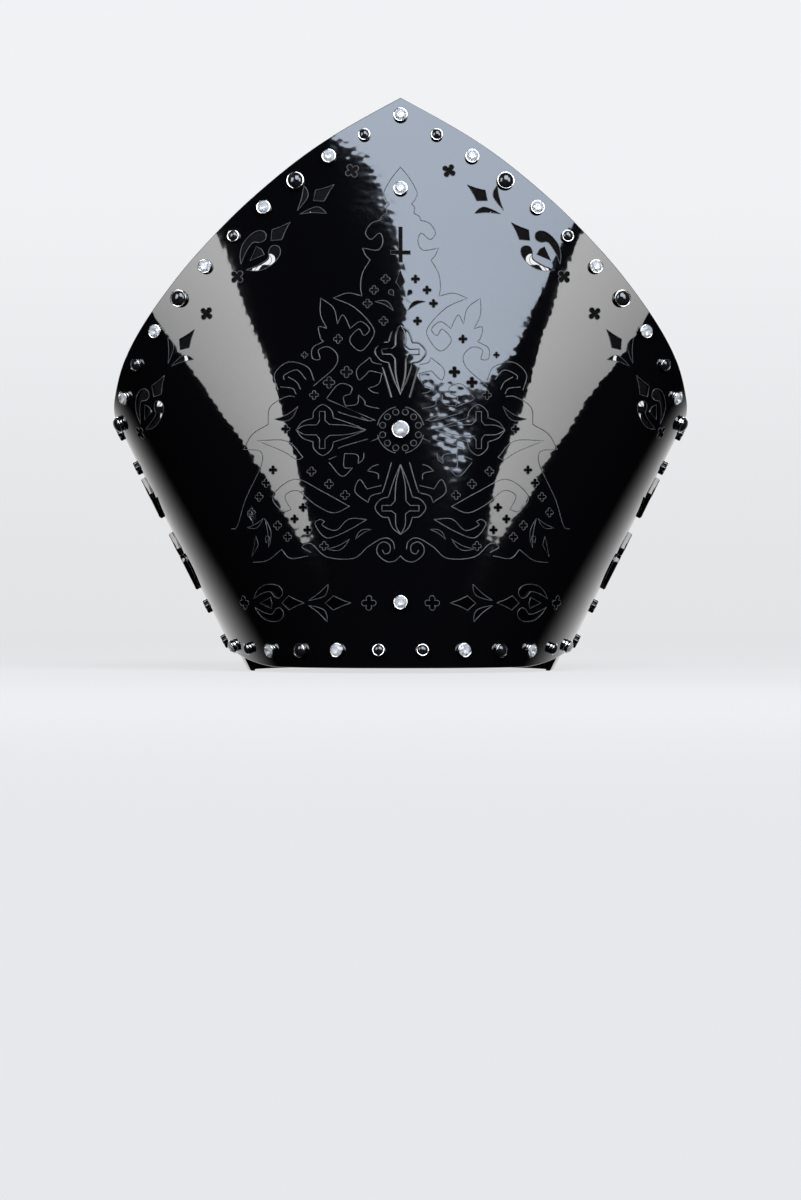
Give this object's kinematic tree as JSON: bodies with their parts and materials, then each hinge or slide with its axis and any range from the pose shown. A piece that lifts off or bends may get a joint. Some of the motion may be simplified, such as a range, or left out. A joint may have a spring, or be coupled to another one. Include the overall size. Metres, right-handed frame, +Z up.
{
  "type": "bishop mitre",
  "caption": "Tall two-peaked ceremonial hat of stiff glossy black leather, pierced with small ornaments and set with round stone studs along its edges, open for the head.",
  "frame": {"origin": "on the surface that the hat stands on, under the middle of the hat's box", "axes": "+Z up, the wearer faces -Y, +X to the wearer's left"},
  "size_m": [0.2962, 0.2047, 0.2895],
  "materials": {
    "leather": "mirror-gloss black patent leather",
    "leather_back": "matt black leather on the inside and at the cut edges",
    "crystal": "clear cut crystal in a silver-coloured setting",
    "onyx": "polished black stone in a silver-coloured setting",
    "silver": "polished silver-coloured metal setting"
  },
  "bodies": {
    "root": {"front_panel": "leather", "back_panel": "leather", "peak_stud": "crystal", "edge_stud_left_01": "onyx", "edge_stud_left_02": "crystal", "edge_stud_left_03": "onyx", "edge_stud_left_04": "crystal", "edge_stud_left_05": "onyx", "edge_stud_left_06": "crystal", "edge_stud_left_07": "onyx", "edge_stud_left_08": "crystal", "edge_stud_left_09": "onyx", "edge_stud_left_10": "crystal", "edge_stud_left_11": "onyx", "edge_stud_right_01": "onyx", "edge_stud_right_02": "crystal", "edge_stud_right_03": "onyx", "edge_stud_right_04": "crystal", "edge_stud_right_05": "onyx", "edge_stud_right_06": "crystal", "edge_stud_right_07": "onyx", "edge_stud_right_08": "crystal", "edge_stud_right_09": "onyx", "edge_stud_right_10": "crystal", "edge_stud_right_11": "onyx", "rim_stud_left_1": "onyx", "rim_stud_left_2": "crystal", "rim_stud_left_3": "onyx", "rim_stud_left_4": "crystal", "rim_stud_left_5": "onyx", "rim_stud_left_6": "crystal", "rim_stud_right_1": "onyx", "rim_stud_right_2": "crystal", "rim_stud_right_3": "onyx", "rim_stud_right_4": "crystal", "rim_stud_right_5": "onyx", "rim_stud_right_6": "crystal", "centre_stud_upper": "crystal", "centre_stud_middle": "crystal", "centre_stud_lower": "crystal"}
  },
  "joints": []
}
